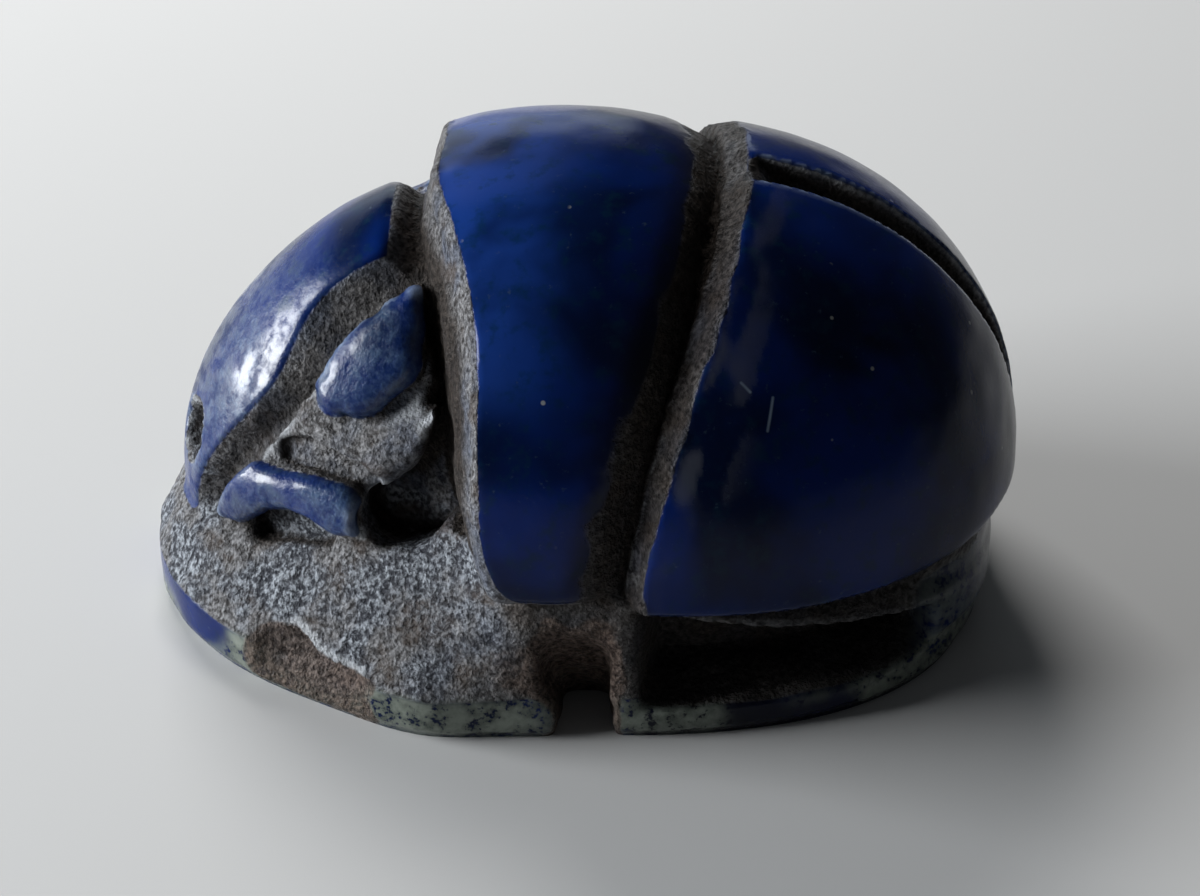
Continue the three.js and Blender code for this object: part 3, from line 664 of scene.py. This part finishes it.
# Paler stone with a painted sheen: grey-blue on the head plate, eyes and cheeks.
pale_stone_and_sheen = (0.5 * fine + 0.5 * mottle).ramp(0.38, 0.66).mix(DULL_BLUE, PALE_BLUE)
blue = (mask_node("pale") * (0.25 + 0.5 * patches.ramp(0.42, 0.62))).mix(blue, pale_stone_and_sheen)
blue = (mask_node("scuff") * 0.7).mix(blue, SCUFFED)
# Painted shade and soil: polished blue is darkened to black in hollows and on the side away from the light.
blue = (soil_and_shade * 0.9).mix(blue, SHADE_AND_SOIL_BLACK)

# Ground stone: grey grit with blue and brown patches, paler on the collar and lighter towards the
# head end as painted light, soil and painted shade in the hollows and on the side away from the light,
# and edges that are rubbed pale and lightened as painted highlights.
GRIT = ((0.035, 0.032, 0.032), (0.26, 0.26, 0.27))
BLUE_GRIT = ((0.02, 0.025, 0.04), (0.10, 0.12, 0.17))
COLLAR_GRIT = ((0.028, 0.030, 0.038), (0.37, 0.40, 0.44))
SOIL_AND_SHADE_TONES = ((0.010, 0.008, 0.007), (0.05, 0.038, 0.03))
BROWN_PATCH, RUBBED_HIGHLIT_GRIT, RUBBED_HIGHLIT_BLUE = (0.075, 0.055, 0.043), (0.48, 0.50, 0.53), (0.22, 0.28, 0.38)
dust = fine.ramp(0.32, 0.7).mix(*GRIT)
dust = (patches.ramp(0.42, 0.62) * 0.75).mix(dust, fine.ramp(0.3, 0.7).mix(*BLUE_GRIT))
dust = (noise_node(1.1, 3).ramp(0.52, 0.68) * 0.6).mix(dust, BROWN_PATCH)
# Painted light with paler grit on the collar.
collar_grit = (0.5 * fine + 0.5 * rubble).ramp(0.42, 0.64).mix(*COLLAR_GRIT)
dust = (mask_node("pale") * patches.ramp(0.42, 0.6) * 0.85).mix(dust, collar_grit)
# Painted shade and soil: ground grit is darkened to brown-black in hollows and on the side away from the
# light.
dust = (soil_and_shade * 0.94).mix(dust, fine.ramp(0.3, 0.8).mix(*SOIL_AND_SHADE_TONES))
# Painted highlights with wear: convex edges are lightened on ground and polished stone alike.
rubbed_and_highlit = mask_node("worn_and_highlit") * (1 - soil_and_shade) * (mottle + 0.3).clamp()
dust = (rubbed_and_highlit * 0.85).mix(dust, RUBBED_HIGHLIT_GRIT)
colour = polish_mask.mix(dust, (rubbed_and_highlit * 0.55).mix(blue, RUBBED_HIGHLIT_BLUE))

# The rim shows grey-green calcite with dark specks; the chip and the notch are brown and rough.
CALCITE = ((0.06, 0.07, 0.06), (0.17, 0.19, 0.165))
BROKEN_BROWN = ((0.022, 0.013, 0.010), (0.14, 0.10, 0.08))
specks = (0.5 * mottle + 0.5 * fine).ramp(0.40, 0.48)
colour = (mask_node("calcite") * specks).clamp().mix(colour, mottle.ramp(0.3, 0.7).mix(*CALCITE))
broken = (mask_node("stain") + 0.9 * (mottle - 0.5)).ramp(0.25, 0.75)
colour = (broken * 0.8).mix(colour, fine.ramp(0.35, 0.65).mix(*BROKEN_BROWN))
wire.tree.links.new(colour.socket, shader.inputs["Base Color"])

# The polish is glassy, with a second gloss on the pale parts; ground stone is matt but for glints.
POLISHED_ROUGHNESS, GROUND_ROUGHNESS = 0.22, 0.42
roughness = (POLISHED_ROUGHNESS * polish_mask + GROUND_ROUGHNESS * (1 - polish_mask)
             + 0.16 * (fine - 0.5) + 0.2 * mask_node("scuff")
             + 0.12 * mask_node("pale") - 0.16 * glints * (1 - polish_mask))
wire.tree.links.new(roughness.socket, shader.inputs["Roughness"])
shader.inputs["Specular IOR Level"].default_value = 0.15
coat = 0.75 * mask_node("pale") * polish_mask * mottle.ramp(0.36, 0.6)
wire.tree.links.new(coat.socket, shader.inputs["Coat Weight"])
shader.inputs["Coat Roughness"].default_value = 0.16

# Grit too fine for the mesh; its heights lie evenly round 0, so that no step shows at the polish.
GRIT_HEIGHT, GRAIN_MIDDLE = 0.13 * MM, 0.45
grit = 0.35 * (grains - GRAIN_MIDDLE) + 0.3 * (small_grains - GRAIN_MIDDLE) + 1.5 * (rubble - 0.5)
height = (1 - polish_mask) * grit + polish_mask * (0.02 + 0.2 * mask_node("pale")) * fine
bump = wire.node("ShaderNodeBump", {}, {"Strength": 1.0, "Distance": GRIT_HEIGHT, "Height": height})
wire.tree.links.new(bump.socket, shader.inputs["Normal"])
mesh.materials.append(lapis)
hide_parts("scarab")
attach(scarab, "root")

# ==== The table it rests on ====
# A plain pale matt board, only there to show the amulet on. It lies a hair below the underside, so
# that the two faces don't meet.
bpy.ops.object.select_all(action="DESELECT")
HAIR_GAP = 0.00001
bpy.ops.mesh.primitive_plane_add(size=1.2, location=(0, 0, low_corner.z - HAIR_GAP))
floor = bpy.context.active_object
floor.name = "floor"
board, wire, shader = new_material("pale board")
shader.inputs["Base Color"].default_value = (0.60, 0.60, 0.60, 1)
shader.inputs["Roughness"].default_value = 0.7
floor.data.materials.append(board)

# ==== Light and camera ====
# A low soft window on the left, a wide pale wall far behind, and a small lamp behind that lights the
# board; the camera is close and looks down on the beetle's right side.
LOOK_AT_X, LOOK_AT_HEIGHT = 0.42, 2.9
target = Vector((LOOK_AT_X + shift[0], shift[1], LOOK_AT_HEIGHT)) * MM


def soft_light(name, azimuth, elevation, distance, size, power, colour):
    """Azimuth goes round from the camera's side through the tail, 270 being the head's side."""
    a, e = math.radians(azimuth), math.radians(elevation)
    back = Vector((math.sin(a) * math.cos(e), -math.cos(a) * math.cos(e), math.sin(e)))
    lamp = bpy.data.lights.new(name, "AREA")
    lamp.shape, lamp.size, lamp.size_y = "RECTANGLE", size[0], size[1]
    lamp.energy, lamp.color = power, colour
    light = bpy.data.objects.new(name, lamp)
    bpy.context.scene.collection.objects.link(light)
    light.location = target + back * distance
    light.rotation_mode = "QUATERNION"
    light.rotation_quaternion = (-back).to_track_quat("-Z", "Y")
    return light


soft_light("window", azimuth=273, elevation=14, distance=0.20, size=(0.12, 0.11), power=0.85,
           colour=(0.95, 0.98, 1.0))
soft_light("far wall", azimuth=215, elevation=12, distance=0.6, size=(1.0, 0.3), power=1.0,
           colour=(0.82, 0.93, 1.0))
ceiling = soft_light("ceiling", azimuth=200, elevation=43, distance=0.11, size=(0.05, 0.04), power=0.088,
                     colour=(1.0, 0.99, 0.97))
ceiling.visible_glossy = False
bpy.context.scene.view_settings.view_transform = "Standard"
world = bpy.data.worlds.new("room")
bpy.context.scene.world = world
world.use_nodes = True
world.node_tree.nodes["Background"].inputs[0].default_value = (0.9, 0.95, 1.0, 1)
world.node_tree.nodes["Background"].inputs[1].default_value = 0.04

CAMERA_ELEVATION, CAMERA_TURN, CAMERA_DISTANCE = math.radians(35), math.radians(2.5), 63 * MM
SENSOR_WIDTH, FOCAL_LENGTH = 36, 91.2
lens = bpy.data.cameras.new("camera")
lens.sensor_width, lens.lens = SENSOR_WIDTH, FOCAL_LENGTH
lens.clip_start, lens.clip_end = 0.001, 10
camera = bpy.data.objects.new("camera", lens)
bpy.context.scene.collection.objects.link(camera)
towards_camera = Vector((math.sin(CAMERA_TURN) * math.cos(CAMERA_ELEVATION),
                         -math.cos(CAMERA_TURN) * math.cos(CAMERA_ELEVATION), math.sin(CAMERA_ELEVATION)))
camera.location = target + towards_camera * CAMERA_DISTANCE
camera.rotation_mode = "QUATERNION"
camera.rotation_quaternion = (-towards_camera).to_track_quat("-Z", "Y")
bpy.context.scene.camera = camera
